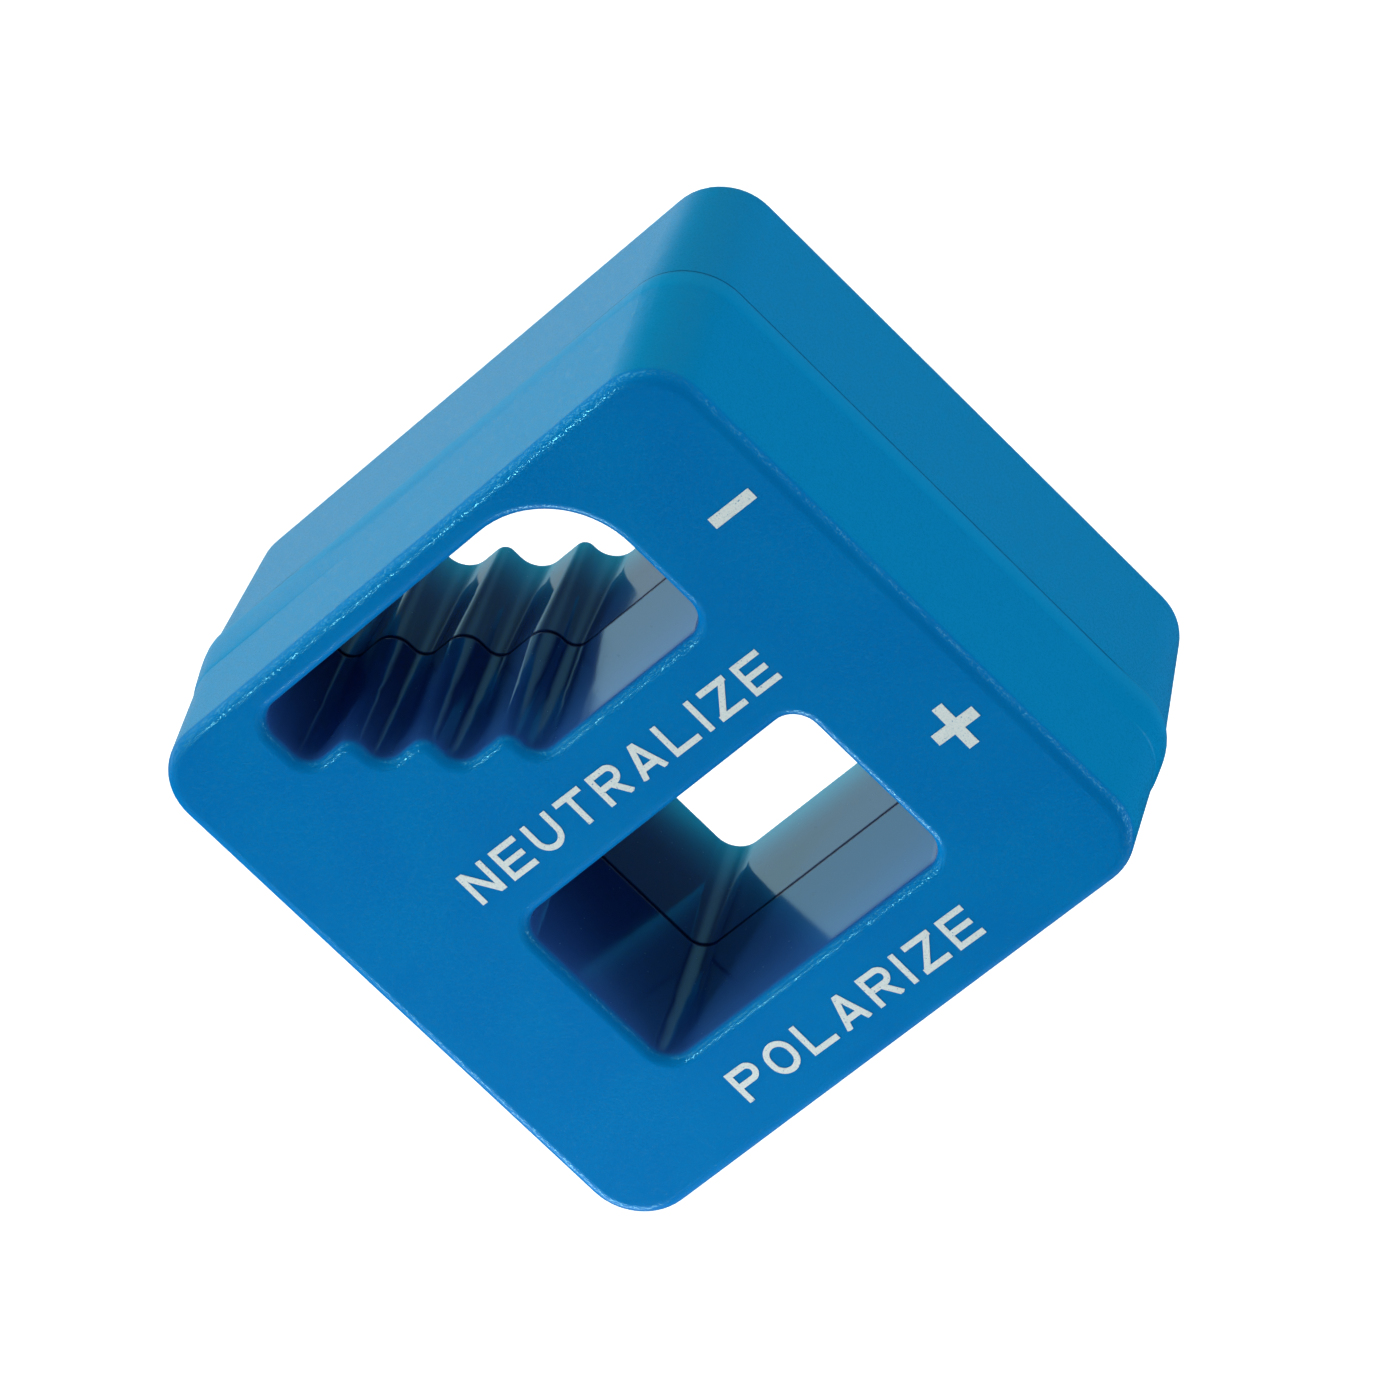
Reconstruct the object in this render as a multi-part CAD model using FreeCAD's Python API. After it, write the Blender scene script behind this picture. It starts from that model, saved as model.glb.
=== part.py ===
"""Bench magnetizer and demagnetizer: a moulded two-shell block with a plain opening that
magnetizes a tool, a stepped opening that demagnetizes it, and two ferrite blocks inside.

Frame: millimetres, +Z up. The block lies on its rear face at Z = 0 with its printed front face up.
X runs along the printed legends, Y runs from the lower opening to the upper one, and the origin is
under the middle of the block.
"""

import FreeCAD
import Part

import math
import os

V = FreeCAD.Vector

# Outer body
body_width = 52.0  # X, at the parting line
body_height = 50.0  # Y, at the parting line
front_depth = 14.4  # parting line to front face
rear_depth = 15.1  # parting line to rear face
corner_radius = 5.0  # upright corners, at the parting line
outer_draft = 2.1  # degrees, on both shells
face_edge_round = 1.0  # where the sides roll into the front and rear faces
seam_chamfer = 0.08  # on both shells' outer edges, so the seam shows as a fine groove

# Walls
outer_wall = 1.9
face_wall = 2.0
sleeve_wall = 1.28  # around both openings, at its thinnest
sleeve_gap = 0.09  # each shell's sleeves stop this far short of the parting line

# Ferrite blocks, with the pockets and foam pads that hold them
magnet_thickness = 5.0  # Y
magnet_side_play = 0.2  # between a block's broad faces and the walls
magnet_overhang = 1.8  # how far a block runs past the lower opening at each end
magnet_end_play = 0.2  # between a block's ends and the ribs
magnet_chamfer = 0.4
rib_thickness = 1.2
rib_short = 2.0  # ribs stop this far short of the parting line
rib_bite = 0.8  # how far ribs run into the walls beside them
pad_thickness = 0.75
pad_margin = 0.3  # pads are this much smaller than a block all round

# Openings, at the parting line; both widen towards both faces
right_band = 12.65  # solid width beside both openings
lower_left_band = 12.9
upper_left_band = 10.35
top_band = 3.2
upper_opening_height = 13.93
opening_draft = 1.8  # degrees
upper_rear_draft = 3.0  # degrees, where the upper opening widens more
opening_corner = 1.5
mouth_round = 0.85  # where an opening's walls roll into a face
arch_radius = 6.75  # the upper opening's large corner
step_runs = (4.25, 4.07, 4.78)  # the staircase, from its top left down to the right
step_rises = (3.25, 3.47, 2.91)
step_nose_round = 1.6
step_root_round = 1.1

# Corner posts that press the shells together
post_inset = 4.7  # post centre from the outer side, both ways
pin_radius = 1.5
pin_clearance = 0.02
pin_length = 5.0
pin_chamfer = 0.4
socket_spare = 0.6  # sockets are this much deeper than the pins are long
socket_wall = 1.1

# Printed legends, a film of ink on the front face
ink_thickness = 0.04
cap_height = 2.76
letter_stroke = 0.46
letter_width = 2.4
letter_gap = 0.77
upper_legend = "NEUTRALIZE"
lower_legend = "POLARIZE"
legend_shift = 0.25  # the print sits this far right of the openings' middle
upper_legend_drop = 0.3  # and this far below the middle of its band
lower_legend_drop = 0.1
sign_size = 3.75
sign_stroke = 0.9
sign_from_side = 4.7
minus_drop = 2.2  # below the middle of the opening beside it
plus_drop = 0.45
print_tilt = -0.9  # degrees, the print is not quite square to the body

front, rear = 1, -1
over = 1.0  # how far cutting tools run past what they cut
depths = {front: front_depth, rear: rear_depth}
total_depth = front_depth + rear_depth
deepest = max(depths.values())
parting_z = rear_depth


def slope(degrees):
    return math.tan(math.radians(degrees))


outer_slope = slope(outer_draft)
lower_slopes = {side: slope(opening_draft) for side in (front, rear)}
upper_slopes = {front: slope(opening_draft), rear: slope(upper_rear_draft)}

# The bands that hold the blocks are as wide as their walls, their play and a block
pocket = magnet_thickness + 2 * magnet_side_play
lower_sleeve = sleeve_wall + max(lower_slopes.values()) * deepest
upper_sleeve = sleeve_wall + max(upper_slopes.values()) * deepest
outer_skin = outer_wall + outer_slope * deepest
opening_right = body_width / 2 - right_band
lower_left = -body_width / 2 + lower_left_band
upper_left = -body_width / 2 + upper_left_band
upper_top = body_height / 2 - top_band
upper_bottom = upper_top - upper_opening_height
lower_top = upper_bottom - upper_sleeve - pocket - lower_sleeve
lower_bottom = -body_height / 2 + outer_skin + pocket + lower_sleeve
openings_middle = (lower_left + opening_right) / 2
magnet_width = opening_right - lower_left + 2 * magnet_overhang
magnet_depth = total_depth - 2 * face_wall - 2 * pad_thickness
magnet_centres = {
    "centre": (openings_middle, lower_top + lower_sleeve + pocket / 2),
    "lower": (openings_middle, lower_bottom - lower_sleeve - pocket / 2),
}


def height(side, s):
    """Z at a distance s from the parting line, in one shell."""
    return parting_z + side * s


def outline(corners, z):
    """A closed wire at height z through (x, y, radius) corners, with tangent arcs."""
    edges, ends = [], []
    count = len(corners)
    for i, (x, y, radius) in enumerate(corners):
        before, after = corners[i - 1], corners[(i + 1) % count]
        here = V(x, y, z)
        back = (V(before[0], before[1], z) - here).normalize()
        on = (V(after[0], after[1], z) - here).normalize()
        half = back.getAngle(on) / 2
        reach = radius / math.tan(half)
        inward = (back + on).normalize()
        middle = here + inward * (radius / math.sin(half) - radius)
        start, end = here + back * reach, here + on * reach
        edges.append(Part.Arc(start, middle, end).toShape())
        ends.append((start, end))
    runs = [
        Part.LineSegment(ends[i][1], ends[(i + 1) % count][0]).toShape()
        for i in range(count)
    ]
    return Part.Wire([e for pair in zip(edges, runs) for e in pair])


def grown(corners, offset):
    """A square-cornered, counter-clockwise outline moved outward by offset."""
    moved = []
    for i, (x, y, radius) in enumerate(corners):
        before, after = corners[i - 1], corners[(i + 1) % len(corners)]
        into = (V(x, y, 0) - V(before[0], before[1], 0)).normalize()
        out = (V(after[0], after[1], 0) - V(x, y, 0)).normalize()
        turn = 1 if into.cross(out).z > 0 else -1
        shift = V(into.y + out.y, -into.x - out.x, 0) * offset
        moved.append((x + shift.x, y + shift.y, max(radius + turn * offset, 0.15)))
    return moved


def block(left, bottom, right, top, radius):
    return [(right, bottom, radius), (right, top, radius), (left, top, radius), (left, bottom, radius)]


def body_corners(inset):
    x, y = body_width / 2 - inset, body_height / 2 - inset
    return block(-x, -y, x, y, corner_radius - inset)


def lower_corners():
    return block(lower_left, lower_bottom, opening_right, lower_top, opening_corner)


def upper_corners():
    """The stepped opening: an arch at the top right and a staircase at the lower left."""
    corners = [
        (opening_right, upper_bottom, opening_corner),
        (opening_right, upper_top, arch_radius),
        (upper_left, upper_top, opening_corner),
    ]
    x, y = upper_left, upper_bottom + sum(step_rises)
    for run, rise in zip(step_runs, step_rises):
        corners.append((x, y, step_root_round))
        x += run
        corners.append((x, y, step_nose_round))
        y -= rise
    corners.append((x, y, step_root_round))
    return corners


openings = [
    (lower_corners(), lower_slopes, lower_sleeve),
    (upper_corners(), upper_slopes, upper_sleeve),
]


def drafted(corners, side, s_from, s_to, widening):
    """A solid between two distances from the parting line, growing with the distance."""
    wires = [
        outline(grown(corners, widening * s), height(side, s)) for s in (s_from, s_to)
    ]
    return Part.makeLoft(wires, True, True)


def body_band(side, sections):
    """A solid through (s, inset) sections of the outer body."""
    wires = [outline(body_corners(inset), height(side, s)) for s, inset in sections]
    return Part.makeLoft(wires, True, True)


def flat_edges(shape, z):
    """The shape's edges that lie flat at height z."""
    return [
        e
        for e in shape.Edges
        if abs(e.BoundBox.ZMin - z) < 1e-4 and abs(e.BoundBox.ZMax - z) < 1e-4
    ]


def middle_of(edge):
    return Part.Vertex(edge.valueAt((edge.FirstParameter + edge.LastParameter) / 2))


def outer_body(side):
    """One shell's outside as a solid block, with its face edge rounded and its seam chamfered."""
    depth = depths[side]
    solid = body_band(side, [(s, outer_slope * s) for s in (seam_chamfer, depth)])
    solid = solid.makeFillet(face_edge_round, flat_edges(solid, height(side, depth)))
    chamfer = body_band(side, [(0, seam_chamfer), (seam_chamfer, outer_slope * seam_chamfer)])
    return solid.fuse(chamfer).removeSplitter()


def upright(x, y, radius, z_from, z_to):
    low, high = sorted((z_from, z_to))
    return Part.makeCylinder(radius, high - low, V(x, y, low))


def post_places():
    x, y = body_width / 2 - post_inset, body_height / 2 - post_inset
    return [(sx * x, sy * y) for sx in (1, -1) for sy in (1, -1)]


def ribs(side):
    """The ribs at both ends of each ferrite block, standing on the face wall."""
    length = pocket + 2 * rib_bite
    low, high = sorted((height(side, rib_short), height(side, depths[side] - face_wall / 2)))
    end = magnet_width / 2 + magnet_end_play
    boxes = []
    for x, y in magnet_centres.values():
        for rib_x in (x - end - rib_thickness, x + end):
            corner = V(rib_x, y - length / 2, low)
            boxes.append(Part.makeBox(rib_thickness, length, high - low, corner))
    return boxes


def shell(side):
    """One half of the case, with its openings, sleeves, posts and ribs."""
    depth = depths[side]
    face_z = height(side, depth)
    solid = outer_body(side)
    mouths = []
    for corners, slopes, _ in openings:
        solid = solid.cut(drafted(corners, side, -over, depth + over, slopes[side]))
        mouths.append(outline(grown(corners, slopes[side] * depth), face_z))
    rims = [
        e
        for e in flat_edges(solid, face_z)
        if min(m.distToShape(middle_of(e))[0] for m in mouths) < 1e-3
    ]
    solid = solid.makeFillet(mouth_round, rims)

    cavity = body_band(
        side, [(s, outer_wall + outer_slope * s) for s in (-over, depth - face_wall)]
    )
    kept = ribs(side)
    for corners, _, sleeve in openings:
        kept.append(drafted(grown(corners, sleeve), side, sleeve_gap, depth, 0.0))
    post_radius = pin_radius + pin_clearance + socket_wall
    for x, y in post_places():
        kept.append(upright(x, y, post_radius, parting_z, face_z))
    solid = solid.cut(cavity.cut(kept))

    pin_top = parting_z + pin_length
    for x, y in post_places():
        if side == front:
            socket_radius = pin_radius + pin_clearance
            socket = upright(x, y, socket_radius, parting_z - over, pin_top + socket_spare)
            solid = solid.cut(socket)
        else:
            pin = upright(x, y, pin_radius, parting_z - over, pin_top)
            solid = solid.fuse(pin.makeChamfer(pin_chamfer, flat_edges(pin, pin_top)))
    return solid.removeSplitter()


def magnet(x, y):
    corner = V(x - magnet_width / 2, y - magnet_thickness / 2, face_wall + pad_thickness)
    body = Part.makeBox(magnet_width, magnet_thickness, magnet_depth, corner)
    return body.makeChamfer(magnet_chamfer, body.Edges)


def pad(x, y, side):
    """A foam pad that fills the space between a block's end and the inside of a face."""
    width, thickness = magnet_width - 2 * pad_margin, magnet_thickness - 2 * pad_margin
    low = face_wall if side == rear else total_depth - face_wall - pad_thickness
    corner = V(x - width / 2, y - thickness / 2, low)
    return Part.makeBox(width, thickness, pad_thickness, corner)


def printed(face, x, y):
    """A face drawn about the origin, raised into ink on the front face at (x, y)."""
    film = face.extrude(V(0, 0, ink_thickness))
    film.rotate(V(0, 0, 0), V(0, 0, 1), print_tilt)
    film.translate(V(x, y, total_depth))
    return Part.makeCompound(film.Solids)


def bar(x1, y1, x2, y2, stroke):
    """A straight stroke between two points, as a face, with square ends."""
    start, end = V(x1, y1, 0), V(x2, y2, 0)
    along = (end - start).normalize()
    across = V(-along.y, along.x, 0) * (stroke / 2)
    corners = [start - across, end - across, end + across, start + across]
    return Part.Face(Part.makePolygon(corners + corners[:1]))


def bowl(x, y, radius, stroke, first, last):
    """A round stroke about (x, y) from one angle to another, in degrees, as a face."""

    def point(r, angle):
        a = math.radians(angle)
        return V(x + r * math.cos(a), y + r * math.sin(a), 0)

    big, small, middle = radius + stroke / 2, radius - stroke / 2, (first + last) / 2
    rim = Part.Arc(point(big, first), point(big, middle), point(big, last)).toShape()
    inside = Part.Arc(point(small, last), point(small, middle), point(small, first)).toShape()
    far_end = Part.LineSegment(point(big, last), point(small, last)).toShape()
    near_end = Part.LineSegment(point(small, first), point(big, first)).toShape()
    return Part.Face(Part.Wire([rim, far_end, inside, near_end]))


def width_of(name):
    return letter_stroke if name == "I" else letter_width


def letter(name):
    """One capital as strokes in a box from (0, 0) to its width and the cap height."""
    w, h, t = width_of(name), cap_height, letter_stroke
    left, right, low, high, middle = t / 2, w - t / 2, t / 2, h - t / 2, h / 2
    stem = (left, 0, left, h)
    eye = (high - middle) / 2  # radius of the round part of P and R
    turn = (right - left) / 2  # radius of the round parts of O and U
    top_of_eye = (left, high, right - eye, high)
    foot_of_eye = (left, middle, right - eye, middle)
    strokes = {
        "A": [(left, 0, w / 2, h), (right, 0, w / 2, h), (w / 5, h / 3.6, w * 4 / 5, h / 3.6)],
        "E": [stem, (left, low, w, low), (left, middle, w * 0.92, middle), (left, high, w, high)],
        "I": [(w / 2, 0, w / 2, h)],
        "L": [stem, (left, low, w, low)],
        "N": [stem, (right, 0, right, h), (left, h, right, 0)],
        "O": [(left, low + turn, left, high - turn), (right, low + turn, right, high - turn)],
        "P": [stem, top_of_eye, foot_of_eye],
        "R": [stem, top_of_eye, foot_of_eye, (w / 2, middle, right, 0)],
        "T": [(w / 2, 0, w / 2, h), (0, high, w, high)],
        "U": [(left, low + turn, left, h), (right, low + turn, right, h)],
        "Z": [(0, high, w, high), (0, low, w, low), (left, low, right, high)],
    }[name]
    faces = [bar(*s, t) for s in strokes]
    if name in "OU":
        faces.append(bowl(w / 2, low + turn, turn, t, 180, 360))
    if name == "O":
        faces.append(bowl(w / 2, high - turn, turn, t, 0, 180))
    if name in "PR":
        faces.append(bowl(right - eye, middle + eye, eye, t, -90, 90))
    whole = faces[0].fuse(faces[1:]).removeSplitter() if faces[1:] else faces[0]
    return whole.common(Part.makePlane(w, h))


def legend(word, y):
    """A line of letters, each one solid, centred over the openings."""
    length = sum(width_of(name) + letter_gap for name in word) - letter_gap
    x = -length / 2
    faces = []
    for name in word:
        face = letter(name)
        face.translate(V(x, -cap_height / 2, 0))
        x += width_of(name) + letter_gap
        faces.append(face)
    return printed(Part.makeCompound(faces), openings_middle + legend_shift, y)


def sign(y, crossed):
    """A minus sign, or a plus sign if crossed."""
    half = sign_size / 2
    face = bar(-half, 0, half, 0, sign_stroke)
    if crossed:
        face = face.fuse(bar(0, -half, 0, half, sign_stroke)).removeSplitter()
    return printed(face, body_width / 2 - sign_from_side, y)


def build():
    parts = {"front_shell": shell(front), "rear_shell": shell(rear)}
    for name, (x, y) in magnet_centres.items():
        parts[name + "_magnet"] = magnet(x, y)
        parts[name + "_magnet_front_pad"] = pad(x, y, front)
        parts[name + "_magnet_rear_pad"] = pad(x, y, rear)
    upper_band_middle = (lower_top + upper_bottom) / 2
    lower_band_middle = (lower_bottom - body_height / 2) / 2
    parts["upper_legend"] = legend(upper_legend, upper_band_middle - upper_legend_drop)
    parts["lower_legend"] = legend(lower_legend, lower_band_middle - lower_legend_drop)
    parts["minus_sign"] = sign((upper_bottom + upper_top) / 2 - minus_drop, crossed=False)
    parts["plus_sign"] = sign((lower_bottom + lower_top) / 2 - plus_drop, crossed=True)
    return parts


os.makedirs("parts", exist_ok=True)
for node, shape in build().items():
    assert shape.isValid(), node
    shape.exportStep(f"parts/{node}.step")
    box = shape.BoundBox
    print(
        f"{node}: {len(shape.Solids)} solid(s), {shape.Volume:.1f} mm3,",
        f"x {box.XMin:.2f} {box.XMax:.2f}, y {box.YMin:.2f} {box.YMax:.2f},",
        f"z {box.ZMin:.2f} {box.ZMax:.2f}",
    )
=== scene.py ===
# Magnetizer and demagnetizer block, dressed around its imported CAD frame. Metres, +Z up.
import math

import bmesh
import bpy
from mathutils import Matrix, Vector


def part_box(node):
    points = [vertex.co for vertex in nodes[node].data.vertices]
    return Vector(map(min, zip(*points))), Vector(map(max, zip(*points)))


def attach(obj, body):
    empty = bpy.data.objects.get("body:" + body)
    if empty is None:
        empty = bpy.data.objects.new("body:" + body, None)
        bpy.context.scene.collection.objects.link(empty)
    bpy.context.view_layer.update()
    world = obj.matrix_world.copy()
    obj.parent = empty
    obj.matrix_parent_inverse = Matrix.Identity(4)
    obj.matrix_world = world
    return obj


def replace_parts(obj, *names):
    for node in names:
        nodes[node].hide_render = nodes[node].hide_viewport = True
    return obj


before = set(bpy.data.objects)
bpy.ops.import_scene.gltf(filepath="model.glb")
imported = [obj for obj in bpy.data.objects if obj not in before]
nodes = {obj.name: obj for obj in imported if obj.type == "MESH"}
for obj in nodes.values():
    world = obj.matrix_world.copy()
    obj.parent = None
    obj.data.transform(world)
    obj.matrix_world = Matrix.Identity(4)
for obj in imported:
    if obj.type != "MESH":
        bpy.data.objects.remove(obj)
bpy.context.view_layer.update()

mm = 0.001
frontLow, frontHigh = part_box("front_shell")
partingZ = frontLow.z
faceZ = frontHigh.z
halfX, halfY = frontHigh.x, frontHigh.y


# nodes by expression: a Wire is one output socket, and sums on it add Math nodes
class Wire:
    def __init__(self, tree, socket=None):
        self.tree, self.socket = tree, socket

    def node(self, kind, settings=None, sockets=None, out=0):
        made = self.tree.nodes.new("ShaderNode" + kind)
        for name, value in (settings or {}).items():
            setattr(made, name, value)
        for name, value in (sockets or {}).items():
            if isinstance(value, Wire):
                self.tree.links.new(value.socket, made.inputs[name])
            else:
                made.inputs[name].default_value = value
        return Wire(self.tree, made.outputs[out] if made.outputs else None)

    def of(self, made):
        return Wire(self.tree, made.outputs[0])

    def maths(self, operation, *values):
        return self.node("Math", {"operation": operation}, dict(enumerate(values)))

    def __add__(self, other):
        return self.maths("ADD", self, other)

    def __radd__(self, other):
        return self.maths("ADD", other, self)

    def __sub__(self, other):
        return self.maths("SUBTRACT", self, other)

    def __rsub__(self, other):
        return self.maths("SUBTRACT", other, self)

    def __mul__(self, other):
        return self.maths("MULTIPLY", self, other)

    def __rmul__(self, other):
        return self.maths("MULTIPLY", other, self)

    def __abs__(self):
        return self.maths("ABSOLUTE", self)

    # 0 below low, 1 above high, smooth between
    def rise(self, low, high):
        settings = {"interpolation_type": "SMOOTHSTEP"}
        return self.node("MapRange", settings, {"Value": self, "From Min": low, "From Max": high})

    def mixed(self, first, second):
        sockets = {"Factor": self, 6: first, 7: second}
        return self.node("Mix", {"data_type": "RGBA"}, sockets, out=2)

    def stretched(self, factors):
        return self.node("VectorMath", {"operation": "MULTIPLY"}, {0: self, 1: factors})

    def along(self, way):
        return self.node("VectorMath", {"operation": "DOT_PRODUCT"}, {0: self, 1: way}, out=1)

    def noise(self, scale, detail=2.0, roughness=0.5, distortion=0.0):
        sockets = {"Vector": self, "Scale": scale, "Detail": detail, "Roughness": roughness}
        return self.node("TexNoise", {}, sockets | {"Distortion": distortion})

    def cells(self, scale, feature="F1"):
        sockets = {"Vector": self, "Scale": scale}
        return self.node("TexVoronoi", {"feature": feature}, sockets, out="Distance")


# a new material with its Principled shader; returns it, its maker and the place in millimetres
def newMaterial(name, constants, output=True):
    material = bpy.data.materials.new(name)
    material.use_nodes = True
    tree = material.node_tree
    tree.nodes.clear()
    maker = Wire(tree)
    shader = maker.node("BsdfPrincipled", {}, constants)
    if output:
        maker.node("OutputMaterial", {}, {"Surface": shader})
    coords = maker.node("TexCoord", {}, {}, out="Object")
    place = coords.stretched((1 / mm,) * 3)
    return material, shader.socket.node, maker, place


def feed(shader, **wires):
    names = {"colour": "Base Color", "roughness": "Roughness", "normal": "Normal"}
    for key, wire in wires.items():
        wire.tree.links.new(wire.socket, shader.inputs[names[key]])


def bump(height, depthMm):
    return height.node("Bump", {}, {"Height": height, "Strength": 1.0, "Distance": depthMm * mm})


# the camera, at the angle asked for
cameraSet = {
    "azimuth": 118.27,
    "elevation": 58.47,
    "roll": 199.26,
    "distance": 0.46842,
    "lens": 174.39,
    "aim": Vector((0.00112, 0.00014, partingZ - 0.00065)),
}


def makeCamera(s):
    azimuth, elevation = math.radians(s["azimuth"]), math.radians(s["elevation"])
    flat = math.cos(elevation)
    back = Vector((math.sin(azimuth) * flat, -math.cos(azimuth) * flat, math.sin(elevation)))
    side = Vector((0, 0, 1)).cross(back).normalized()
    side = Matrix.Rotation(math.radians(s["roll"]), 3, back) @ side
    axes = Matrix((side, back.cross(side), back)).transposed()
    camera = bpy.data.objects.new("camera", bpy.data.cameras.new("camera"))
    camera.matrix_world = Matrix.Translation(s["aim"] + back * s["distance"]) @ axes.to_4x4()
    camera.data.lens = s["lens"]
    camera.data.clip_start, camera.data.clip_end = 0.01, 20
    bpy.context.scene.collection.objects.link(camera)
    bpy.context.scene.camera = camera


makeCamera(cameraSet)
print("camera set")

# the studio: a pale floor well below the block and a room of soft lit patches
studio = {
    "floorDrop": 0.6,
    "floorSize": 8.0,
    "floorRoughness": 0.9,
    "floorColour": (0.90, 0.905, 0.91, 1),
    "floorGlow": 0.7,
    "tint": (0.90, 1.0, 1.0, 1),
    "tintAbove": (0.90, 1.12, 0.93, 1),
    "aboveWay": (0.0, 1.0, 0.0),
    "aboveFrom": (0.3, 0.9),
    # which way the near lamp is, how far off, its size and its power
    "nearLamp": (Vector((-0.84, -0.47, 0.28)), 0.16, 0.08, 0.22),
    "behindAll": (0.95, 0.955, 0.96, 1),
    # direction of each patch, cosines where it starts and where it is full, brightness
    "patches": [
        ((1, -1, 0), 0.80, 0.97, 3.3),
        ((0, 1, 0), 0.80, 0.97, 2.4),
        ((-1, 0, 1), 0.80, 0.97, 0.35),
        ((1, 0, 1), 0.80, 0.97, 0.1),
        ((0, -1, 1), 0.80, 0.97, 0.45),
        ((-1, 1, 0), 0.80, 0.97, 1.6),
        ((-1, 1, 1), 0.80, 0.97, 0.8),
        ((1, 1, 0), 0.80, 0.97, 0.7),
        ((1, 0, 0), 0.80, 0.97, 0.75),
        ((1, 1, -1), 0.80, 0.97, 0.22),
        ((0, -1, 0), 0.80, 0.97, 0.6),
        ((-1, -1, 0), 0.80, 0.97, 0.4),
        ((-1, 1, -1), 0.80, 0.97, 0.45),
        ((0, 0, -1), 0.80, 0.97, 0.15),
        ((-0.46, 0.10, -0.88), 0.93, 0.985, 0.5),
        ((-0.2, 0.3, 0.93), 0.92, 0.985, 0.25),
        ((-0.46, 0.5, 0.73), 0.9955, 0.998, 42.0),
    ],
}


def makeFloor(s):
    bpy.ops.mesh.primitive_plane_add(size=s["floorSize"], location=(0, 0, -s["floorDrop"]))
    floor = bpy.context.object
    floor.name = "floor"
    light = s["floorColour"]
    constants = {"Roughness": s["floorRoughness"]}
    constants |= {"Emission Color": light, "Emission Strength": s["floorGlow"]}
    material, shader, maker, place = newMaterial("palePaper", constants)
    dark = tuple(c * 0.98 for c in light)
    feed(shader, colour=place.noise(0.02, detail=3.0).mixed(dark, light))
    floor.data.materials.append(material)
    # the block is lit by the room alone
    floor.visible_diffuse = floor.visible_glossy = floor.visible_shadow = False


def makeRoom(s):
    world = bpy.data.worlds.new("room")
    world.use_nodes = True
    tree = world.node_tree
    tree.nodes.clear()
    maker = Wire(tree)
    towards = maker.node("TexCoord", {}, {}, out="Generated")
    total = 0
    for direction, start, full, brightness in s["patches"]:
        facing = towards.along(Vector(direction).normalized())
        total = total + facing.rise(start, full) * brightness
    above = towards.along(s["aboveWay"]).rise(*s["aboveFrom"])
    seen = maker.node("LightPath", {}, {}, out="Is Camera Ray")
    colour = seen.mixed(above.mixed(s["tint"], s["tintAbove"]), s["behindAll"])
    strength = total * (1 - seen) + seen
    room = maker.node("Background", {}, {"Color": colour, "Strength": strength})
    maker.node("OutputWorld", {}, {"Surface": room})
    bpy.context.scene.world = world


# one soft lamp close to the lower left, for the fall in light across the front face
def makeNearLamp(s):
    away, distance, size, power = s["nearLamp"]
    lamp = bpy.data.lights.new("nearLamp", "AREA")
    lamp.size, lamp.energy = size, power
    box = bpy.data.objects.new("nearLamp", lamp)
    box.location = Vector((0, 0, faceZ)) + away.normalized() * distance
    box.rotation_euler = away.to_track_quat("Z", "Y").to_euler()
    bpy.context.scene.collection.objects.link(box)


makeFloor(studio)
makeRoom(studio)
makeNearLamp(studio)
bpy.context.scene.view_settings.view_transform = "Standard"
print("studio lit")

# the case's blue plastic: fine spark-eroded outside, smoother in the openings, whose walls are darkened by
# painted shade; painted light brightens the sides, a band before the seam and the walls near the rear mouths
casePlastic = {
    "colour": (0.0, 0.164, 0.462, 1),
    "deep": (0.0, 0.152, 0.452, 1),
    # painted light: the sides and rear are given a lighter, more cyan blue than the front face
    "side": (0.0, 0.203, 0.475, 1),
    # pale blue for the plastic's own specks, for painted glints and for the painted light of the band before
    # the seam
    "paleForSpecksAndPaintedLight": (0.01, 0.27, 0.56, 1),
    # painted shade: the openings' walls are coloured darker and more purple than the outside
    "opening": (0.025, 0.095, 0.34, 1),
    # painted light: the openings' walls brighter and more cyan near the rear mouths
    "paintedRearLight": (0.01, 0.40, 0.70, 1),
    "mirror": (0.25, 0.76, 1.0, 1),
    "mirrored": 0.22,
    "mirroredFromMm": (0.4, 1.6),
    "paintedRearLightMm": 9.0,
    # painted shade: a dark line along the seam outside and along its groove in the openings
    "seam": (0.0, 0.02, 0.09, 1),
    "seamMm": (0.07, 0.16),
    "grooveMm": (0.2, 0.3),
    # painted light: the brighter band in front of the seam, standing in for the light the rolled lip
    # catches: where its middle is, and how far it reaches
    "paintedLightBandAtMm": 0.8,
    "paintedLightBandMm": (0.3, 1.3),
    "paintedLightBandAmount": 0.3,
    "seamAmount": 0.6,
    "grooveShadeAmount": 0.85,
    "specksPerMm": 2.6,
    "specksAndPaintedGlintsAmount": 0.6,
    # where the openings' walls begin: half width, thickness of the walls above and below, depth of the front
    # and of the rear lip; then how far back the sides' painted lighter blue begins
    "openingHalfWidth": 20.0,
    "openingWall": 1.7,
    "frontLipMm": (0.3, 0.9),
    "rearLipMm": (0.15, 0.8),
    "sideFromMm": (0.6, 1.2),
    "grainMm": 0.011,
    "grainPerMm": 5.5,
    "outsideRoughness": 0.33,
    "openingRoughness": 0.10,
    "outsideShine": 0.05,
    "specularTint": (0.1, 0.7, 1.0, 1),
    "glints": 0.55,
    "glintsPerMm": 7.0,
    "glintMm": 0.015,
    "glintRoughness": 0.17,
    "glintTint": (0.25, 0.85, 1.0, 1),
    "openingShine": 0.02,
}


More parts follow.
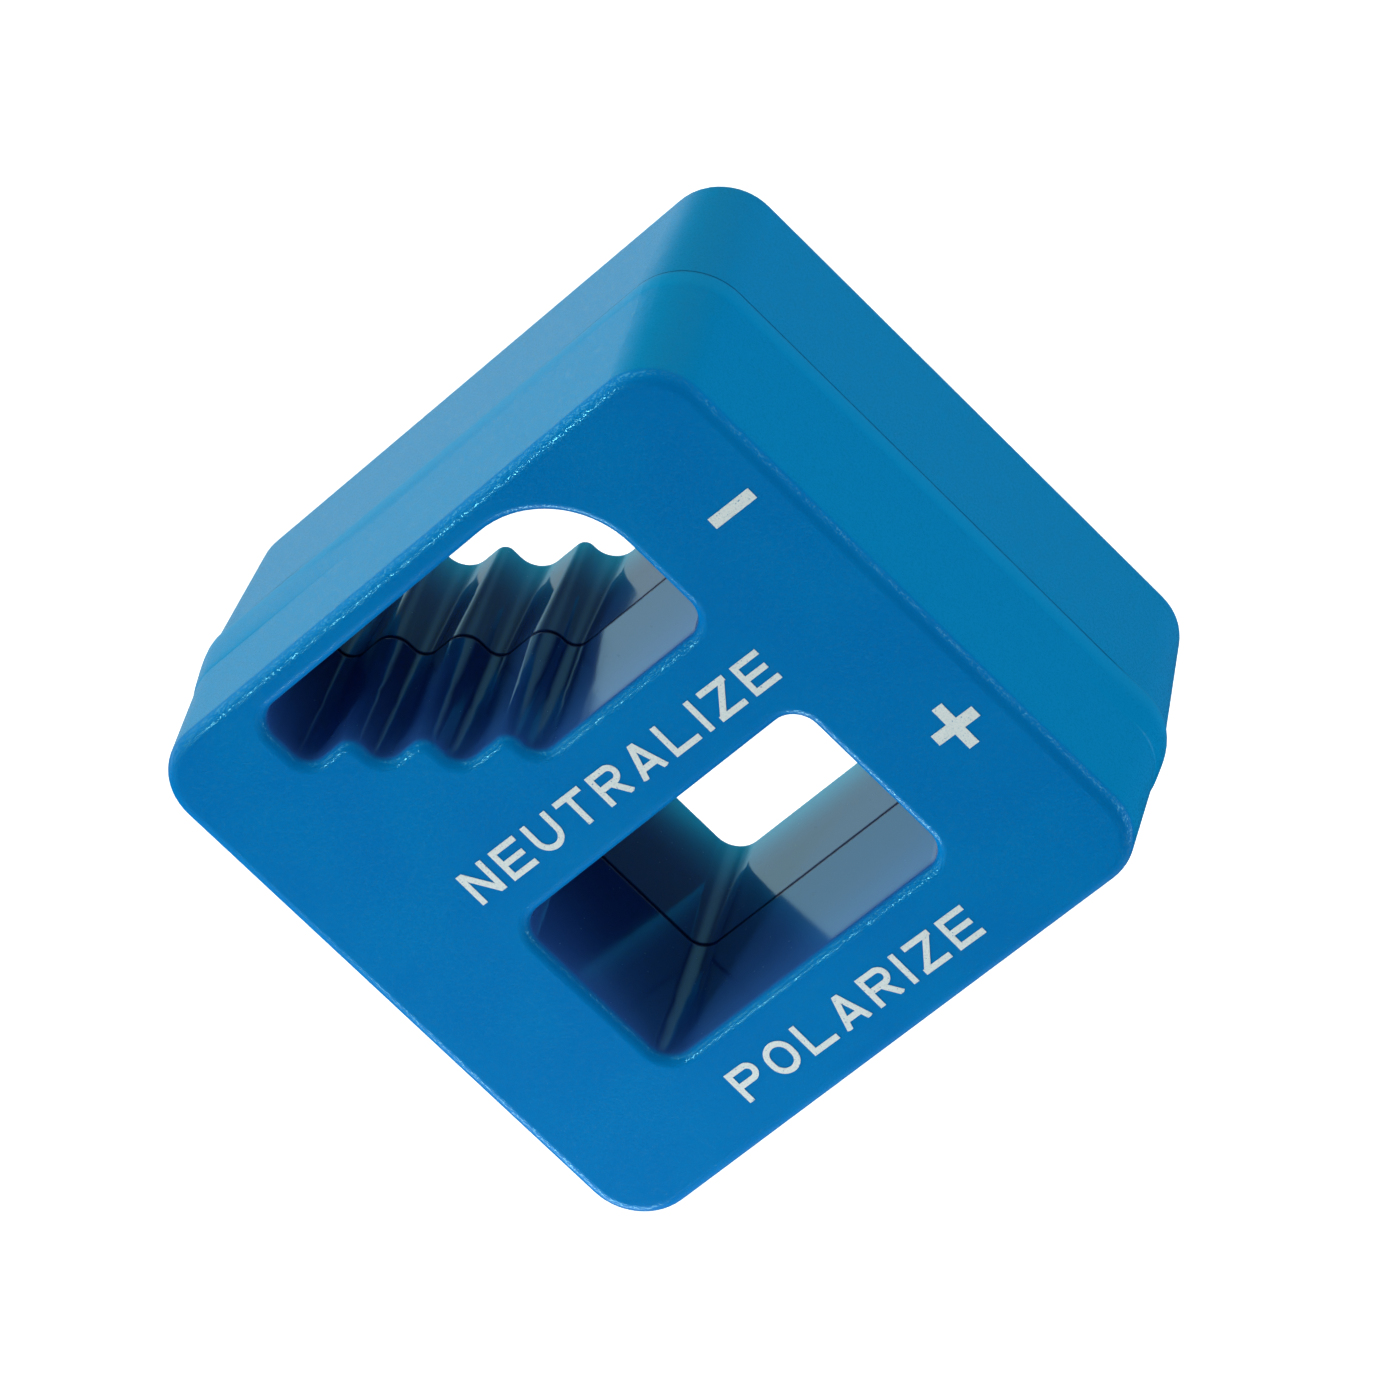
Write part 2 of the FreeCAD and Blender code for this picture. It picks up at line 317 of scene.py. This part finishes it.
def makeCasePlastic(s):
    constants = {"IOR": 1.5, "Specular IOR Level": s["outsideShine"]}
    constants["Specular Tint"] = s["specularTint"]
    material, shader, maker, place = newMaterial("bluePlastic", constants, output=False)
    constants = {"IOR": 1.9, "Roughness": s["glintRoughness"], "Specular Tint": s["glintTint"]}
    facet = maker.node("BsdfPrincipled", {}, constants)
    inner = maker.node("BsdfPrincipled", {}, {"IOR": 1.5, "Specular IOR Level": s["openingShine"]})
    gloss = maker.node("BsdfPrincipled", {}, {"Metallic": 1.0, "Base Color": s["mirror"]})
    x, y, z = (place.node("SeparateXYZ", {}, {"Vector": place}, out=i) for i in range(3))

    # 1 on the walls of the openings, 0 outside
    within = (s["openingHalfWidth"] - abs(x)).rise(-0.5, 0.5)
    within = within * (halfY / mm - s["openingWall"] - abs(y)).rise(-0.15, 0.15)
    depth = faceZ / mm - z
    opening = within * depth.rise(*s["frontLipMm"]) * z.rise(*s["rearLipMm"])
    side = depth.rise(*s["sideFromMm"])

    coarse = place.noise(s["grainPerMm"], detail=3.0, roughness=0.6)
    fine = place.noise(s["grainPerMm"] * 1.8, detail=1.0)
    grain = coarse * 0.6 + fine * 0.4
    streaks = place.stretched((5.0, 5.0, 0.12)).noise(1.0, detail=3.0)
    scuffs = place.stretched((0.5, 0.5, 7.0)).noise(0.8, detail=2.0, distortion=0.6).rise(0.62, 0.8)
    pits = (0.5 - place.cells(1.1)).rise(0.42, 0.47)

    patches = place.noise(0.16, detail=2.0)
    # painted light: the sides and rear take the lighter side blue; the front face has random patches of two
    # blues
    tone = side.mixed(patches.rise(0.3, 0.7).mixed(s["deep"], s["colour"]), s["side"])
    # pale specks: partly the plastic's own, partly painted glints on the flat faces
    specksAndPaintedGlints = (0.5 - place.cells(s["specksPerMm"])).rise(0.37, 0.47)
    glints = place.noise(s["glintsPerMm"], detail=1.0, roughness=0.4).rise(0.5, 0.62)
    tone = (specksAndPaintedGlints * s["specksAndPaintedGlintsAmount"]).mixed(tone, s["paleForSpecksAndPaintedLight"])
    # painted shade: a dark line along the seam
    seamShadeLine = 1 - abs(z - partingZ / mm).rise(*s["seamMm"])
    # painted light: a paler band just in front of the seam
    paintedLightBand = 1 - abs(z - partingZ / mm - s["paintedLightBandAtMm"]).rise(*s["paintedLightBandMm"])
    tone = (paintedLightBand * s["paintedLightBandAmount"]).mixed(tone, s["paleForSpecksAndPaintedLight"])
    tone = (seamShadeLine * s["seamAmount"]).mixed(tone, s["seam"])
    outer = bump(grain + scuffs * 0.5 * side, s["grainMm"])
    rough = s["outsideRoughness"] + (coarse - 0.5) * 0.16
    feed(shader, colour=tone, normal=outer, roughness=rough)
    feed(facet.socket.node, colour=tone, normal=bump(fine, s["glintMm"]))
    glinting = glints * (1 - paintedLightBand * 0.6) * s["glints"]
    outside = maker.node("MixShader", {}, {0: glinting, 1: maker.of(shader), 2: facet})

    smooth = s["openingRoughness"] + (streaks - 0.5) * 0.07 + pits * 0.3
    ragged = z + (place.noise(2.5, detail=2.0) - 0.5) * 0.12
    groove = 1 - abs(ragged - partingZ / mm).rise(*s["grooveMm"])
    # painted shade darkens the openings' walls, with painted light near the rear mouths fading forwards
    dark = (1 - z.rise(0.0, s["paintedRearLightMm"])).mixed(s["opening"], s["paintedRearLight"])
    # painted shade: the groove at the seam darkened, besides its bump
    dark = (groove * s["grooveShadeAmount"]).mixed(dark, s["seam"])
    inside = bump(streaks * 0.12 - pits * 0.8 - groove * 3.0, s["grainMm"])
    feed(inner.socket.node, colour=dark, roughness=smooth, normal=inside)
    feed(gloss.socket.node, roughness=smooth, normal=inside)
    shine = (1 - groove * 0.9) * depth.rise(*s["mirroredFromMm"]) * s["mirrored"]
    inner = maker.node("MixShader", {}, {0: shine, 1: inner, 2: gloss})
    both = maker.node("MixShader", {}, {0: opening, 1: outside, 2: inner})
    maker.node("OutputMaterial", {}, {"Surface": both})
    return material


bluePlastic = makeCasePlastic(casePlastic)
nodes["rear_shell"].data.materials[0] = bluePlastic
print("case plastic made")

# the front shell again, with its lip rolled and two corners swollen where it was pressed on
frontShell = {
    "outsideRadius": 5.0,
    "draftDegrees": 2.1,
    "rollMm": 0.07,
    "rollLengthMm": 1.8,
    "rollStartMm": 0.2,
    "rollBluntness": 0.6,
    # signs of the corner, how far it swells, how high up, how far along the x side and the y side, and how
    # bluntly it ends
    "swells": [
        ((-1, 1), 0.27, 5.0, 20.0, 8.0, 0.6),
        ((1, -1), 0.27, 4.3, 7.0, 7.0, 0.6),
        ((-1, 1), 0.20, 2.6, 52.0, 5.0, 1.0),
    ],
    "swellStartMm": 0.3,
    "swellTuckedIn": 0.45,
    "swellFromCorner": 3,
    # heights above the seam at which the lip is cut, and the cuts' distance along the sides
    "levelsMm": [
        0.2, 0.4, 0.7, 1.0, 1.3, 1.5, 1.65, 1.75, 1.8, 2.2, 2.6, 3.0, 3.4, 3.7, 3.9, 4.05,
        4.15, 4.25, 4.3, 4.5, 4.65, 4.8, 4.9, 4.96,
    ],
    "stepMm": 1.5,
    "sharpDegrees": 30,
}


# millimetres out of the outer side face at a point, and the way out
def fromSide(s, x, y, z):
    inward = (z - partingZ / mm) * math.tan(math.radians(s["draftDegrees"]))
    radius = s["outsideRadius"] - inward
    flatX, flatY = halfX / mm - s["outsideRadius"], halfY / mm - s["outsideRadius"]
    overX, overY = max(abs(x) - flatX, 0), max(abs(y) - flatY, 0)
    reach = math.hypot(overX, overY)
    if reach < 1e-6:
        return -radius, Vector((0, 0, 0))
    way = Vector((math.copysign(overX, x), math.copysign(overY, y), 0)) / reach
    return reach - radius, way


def swelling(s, x, y, z):
    up = z - partingZ / mm
    away = 0
    lip = s["rollLengthMm"]
    if up < lip:
        start = 1 - math.exp(-up / s["rollStartMm"])
        away = s["rollMm"] * start * (1 - (up / lip) ** 2) ** s["rollBluntness"]
    for (signX, signY), most, height, alongX, alongY, blunt in s["swells"]:
        backX = max(halfX / mm - s["swellFromCorner"] - x * signX, 0) / alongX
        backY = max(halfY / mm - s["swellFromCorner"] - y * signY, 0) / alongY
        back = math.hypot(backX, backY)
        if back < 1 and up < height:
            fade = (1 - back * back) ** 2
            roll = 1 - s["swellTuckedIn"] * math.exp(-up / s["swellStartMm"])
            away = max(away, most * fade * roll * (1 - (up / height) ** 2) ** blunt)
    return away


def cutBy(work, faces, point, normal):
    around = {v for f in faces for v in f.verts} | {e for f in faces for e in f.edges}
    geometry = list(faces) + list(around)
    bmesh.ops.bisect_plane(work, geom=geometry, dist=1e-7, plane_co=point, plane_no=normal)


def lipFaces(s, work):
    found = []
    for face in work.faces:
        x, y, z = face.calc_center_median() / mm
        if abs(face.normal.z) < 0.3 and z < faceZ / mm - 1 and fromSide(s, x, y, z)[0] > -0.2:
            found.append(face)
    return found


def makeFrontShell(s):
    work = bmesh.new()
    work.from_mesh(nodes["front_shell"].data)
    bmesh.ops.remove_doubles(work, verts=work.verts, dist=2e-7)
    tallest = max(swell[2] for swell in s["swells"])
    for up in s["levelsMm"] + [tallest]:
        cutBy(work, lipFaces(s, work), Vector((0, 0, partingZ + up * mm)), Vector((0, 0, 1)))
    for axis, half in ((0, halfX), (1, halfY)):
        steps = int(2 * half / mm / s["stepMm"])
        for step in range(1, steps):
            point, normal = Vector((0, 0, 0)), Vector((0, 0, 0))
            point[axis], normal[axis] = half * (2 * step / steps - 1), 1
            low = [f for f in lipFaces(s, work) if f.calc_center_median().z < partingZ + tallest * mm]
            cutBy(work, low, point, normal)
    for vertex in work.verts:
        x, y, z = vertex.co / mm
        out, way = fromSide(s, x, y, z)
        if out > -0.3 and z < partingZ / mm + tallest:
            vertex.co += way * swelling(s, x, y, z) * mm
    for edge in work.edges:
        angle = edge.calc_face_angle(0) if len(edge.link_faces) == 2 else 0
        edge.smooth = angle < math.radians(s["sharpDegrees"])
    for face in work.faces:
        face.smooth = True
    mesh = bpy.data.meshes.new("frontShellLook")
    work.to_mesh(mesh)
    work.free()
    for name in [a.name for a in mesh.attributes if a.name == "custom_normal"]:
        mesh.attributes.remove(mesh.attributes[name])
    shell = bpy.data.objects.new("front_shell_look", mesh)
    bpy.context.scene.collection.objects.link(shell)
    mesh.materials.clear()
    mesh.materials.append(bluePlastic)
    weighting = shell.modifiers.new("evenNormals", "WEIGHTED_NORMAL")
    weighting.keep_sharp = True
    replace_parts(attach(shell, "root"), "front_shell")


makeFrontShell(frontShell)
print("front shell made")

# the print
printInk = {
    "colour": (0.70, 0.72, 0.74, 1),
    "thin": (0.42, 0.52, 0.62, 1),
    "hole": (0.10, 0.26, 0.46, 1),
}


def makeInk(s):
    material, shader, maker, place = newMaterial("whiteInk", {"Roughness": 0.6, "Specular IOR Level": 0.2})
    mottle = place.noise(7.0, detail=3.0, roughness=0.7)
    pinholes = place.noise(6.0, detail=2.0).rise(0.66, 0.72)
    tone = (mottle.rise(0.45, 0.75) * 0.7).mixed(s["colour"], s["thin"])
    feed(shader, colour=(pinholes * 0.8).mixed(tone, s["hole"]), normal=bump(mottle - pinholes, 0.006))
    return material


whiteInk = makeInk(printInk)
for name in ("upper_legend", "lower_legend", "minus_sign", "plus_sign"):
    nodes[name].data.materials[0] = whiteInk
print("print inked")

# the two ferrite blocks inside
ferrite = {"colour": (0.035, 0.035, 0.038, 1), "dust": (0.075, 0.073, 0.07, 1), "linesPerMm": 9.0}


def makeFerrite(s):
    material, shader, maker, place = newMaterial("ferrite", {"IOR": 1.7})
    clouds = place.noise(0.5, detail=4.0, roughness=0.65)
    ground = place.stretched((0.15, s["linesPerMm"], s["linesPerMm"])).noise(1.0, detail=2.0)
    pits = place.noise(5.0, detail=2.0).rise(0.66, 0.74)
    feed(
        shader,
        colour=(clouds.rise(0.45, 0.75) * 0.6 + pits * 0.3).mixed(s["colour"], s["dust"]),
        roughness=0.42 + ground * 0.25,
        normal=bump(ground * 0.4 - pits * 0.8 + clouds * 0.3, 0.02),
    )
    return material


darkFerrite = makeFerrite(ferrite)
for name in ("centre_magnet", "lower_magnet"):
    nodes[name].data.materials[0] = darkFerrite
print("ferrite made")

# the foam squeezed between each block and the shells
foamPads = {
    "colour": (0.045, 0.047, 0.05, 1),
    # painted shade: the foam's cell hollows are coloured darker
    "open": (0.012, 0.012, 0.013, 1),
    "cellsPerMm": 3.2,
    "edgeMm": 0.18,
    "sliceMm": 1.2,
    "puffMm": 0.08,
    "fill": 0.8,
}


def makeFoam(s):
    material, shader, maker, place = newMaterial("greyFoam", {"Roughness": 0.95})
    walls = place.cells(s["cellsPerMm"], feature="DISTANCE_TO_EDGE")
    small = place.cells(s["cellsPerMm"] * 2.3, feature="DISTANCE_TO_EDGE")
    hollow = walls.rise(0.05, 0.3) * 0.7 + small.rise(0.05, 0.3) * 0.3
    # painted shade: darker towards the middle of each cell
    feed(shader, colour=hollow.mixed(s["colour"], s["open"]), normal=bump(1 - hollow, 0.12))
    return material


def makePad(s, name, material):
    low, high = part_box(name)
    size, middle = high - low, (low + high) / 2
    edge = s["edgeMm"] * mm
    work = bmesh.new()
    bmesh.ops.create_cube(work, size=1.0)
    for vertex in work.verts:
        vertex.co = Vector(c * span for c, span in zip(vertex.co, size))
    bmesh.ops.bevel(work, geom=work.edges[:], offset=edge, segments=3, profile=0.6, affect="EDGES")
    for axis in (0, 1, 2):
        steps = max(int(size[axis] / mm / s["sliceMm"]), 1)
        for step in range(1, steps):
            point, normal = Vector((0, 0, 0)), Vector((0, 0, 0))
            point[axis], normal[axis] = size[axis] * (step / steps - 0.5), 1
            everything = work.verts[:] + work.edges[:] + work.faces[:]
            bmesh.ops.bisect_plane(work, geom=everything, dist=1e-7, plane_co=point, plane_no=normal)
    # the free sides bulge a little between the two pressed faces
    for vertex in work.verts:
        level = vertex.co.z / (size.z / 2)
        out = s["puffMm"] * mm * (1 - level * level)
        for axis in (0, 1):
            if abs(vertex.co[axis]) > size[axis] / 2 - edge * 1.01:
                vertex.co[axis] += math.copysign(out - s["puffMm"] * mm, vertex.co[axis])
    mesh = bpy.data.meshes.new(name + "Look")
    work.to_mesh(mesh)
    work.free()
    mesh.materials.append(material)
    for polygon in mesh.polygons:
        polygon.use_smooth = True
    pad = bpy.data.objects.new(name + "_look", mesh)
    pad.location = middle
    bpy.context.scene.collection.objects.link(pad)
    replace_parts(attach(pad, "root"), name)


greyFoam = makeFoam(foamPads)
for block in ("centre_magnet", "lower_magnet"):
    for side in ("front_pad", "rear_pad"):
        makePad(foamPads, block + "_" + side, greyFoam)
print("foam pads made")
